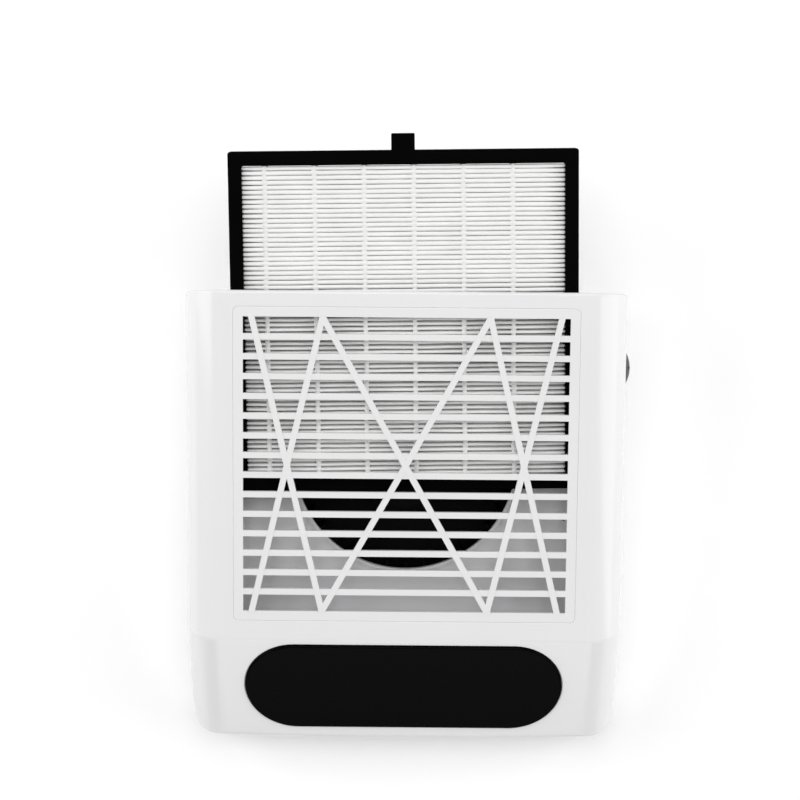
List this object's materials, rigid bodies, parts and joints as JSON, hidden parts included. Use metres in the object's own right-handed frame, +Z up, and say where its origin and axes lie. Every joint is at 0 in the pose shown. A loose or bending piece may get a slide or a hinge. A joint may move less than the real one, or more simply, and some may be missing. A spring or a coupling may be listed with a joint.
{
  "type": "nail dust collector",
  "caption": "Wedge-shaped table-top nail dust collector with a sloped grille, palm panel, slide-out pleated filter and side speed knob.",
  "frame": {"origin": "centre of the flat underside of the base; the rubber feet stand 2.5 mm lower", "axes": "+Z up, +Y to the rear where the filter slides out, +X to the right where the knob is"},
  "size_m": [0.2548, 0.3462, 0.1091],
  "materials": {
    "case_white": "glossy white ABS",
    "base_white": "semi-gloss white ABS",
    "inner_white": "satin white ABS",
    "panel_black": "smooth black, softly polished",
    "tape": "thin double-sided foam tape",
    "filter_black": "matt black moulding",
    "filter_paper": "pleated white filter paper",
    "hot_melt": "milky hot-melt glue",
    "foam_black": "closed-cell foam",
    "fan_black": "satin black nylon",
    "magnet": "bonded ferrite",
    "steel": "turned steel",
    "die_cast": "die-cast aluminium",
    "lamination": "coated laminations",
    "copper": "enamelled copper wire",
    "knob_black": "satin black, fluted",
    "dark_plastic": "satin black",
    "board_green": "green solder mask",
    "heatsink": "extruded aluminium",
    "connector_white": "off-white nylon",
    "lead_red": "soft red insulation",
    "lead_grey": "soft grey insulation",
    "rubber": "moulded rubber",
    "screw_zinc": "zinc-plated steel"
  },
  "bodies": {
    "case": {"upper_shell": "case_white", "lower_shell": "base_white", "grille_insert": "case_white", "palm_panel": "panel_black", "palm_panel_tape": "tape", "filter_tray": "inner_white", "fan_scroll": "inner_white", "motor_mount": "die_cast", "motor_bearings": "steel", "stator_core": "lamination", "stator_windings": "copper", "potentiometer": "dark_plastic", "potentiometer_nut": "steel", "exhaust_vent": "case_white", "dc_socket": "dark_plastic", "dc_socket_pin": "steel", "dc_socket_nut": "steel", "control_board": "board_green", "board_capacitors": "dark_plastic", "board_chips": "dark_plastic", "board_heatsink": "heatsink", "board_connectors": "connector_white", "socket_leads": "lead_red", "knob_leads": "lead_grey", "motor_leads": "lead_red", "rubber_feet": "rubber", "housing_screws": "screw_zinc", "tray_screws": "screw_zinc", "fan_screws": "screw_zinc", "motor_screws": "screw_zinc", "board_screws": "screw_zinc"},
    "filter_cartridge": {"filter_frame": "filter_black", "filter_media": "filter_paper", "filter_glue_beads": "hot_melt", "filter_gasket": "foam_black"},
    "rotor": {"impeller": "fan_black", "blade_ring": "fan_black", "rotor_magnet": "magnet", "motor_shaft": "steel", "shaft_clip": "steel"},
    "knob": {"speed_knob": "knob_black", "pot_shaft": "steel"}
  },
  "joints": [
    {"name": "filter_slide", "type": "slide", "parent": "case", "child": "filter_cartridge", "axis": [0, 0.9903, 0.1392], "range_m": [-0.0787, 0.1155]},
    {"name": "impeller_spin", "type": "hinge", "parent": "case", "child": "rotor", "pos_m": [0, 0.03617, 0.04663], "axis": [0, -0.1392, 0.9903], "continuous": true},
    {"name": "knob_turn", "type": "hinge", "parent": "case", "child": "knob", "pos_m": [0.1298, 0.0878, 0.048], "axis": [-1, 0, 0], "range_deg": [0, 300]}
  ]
}
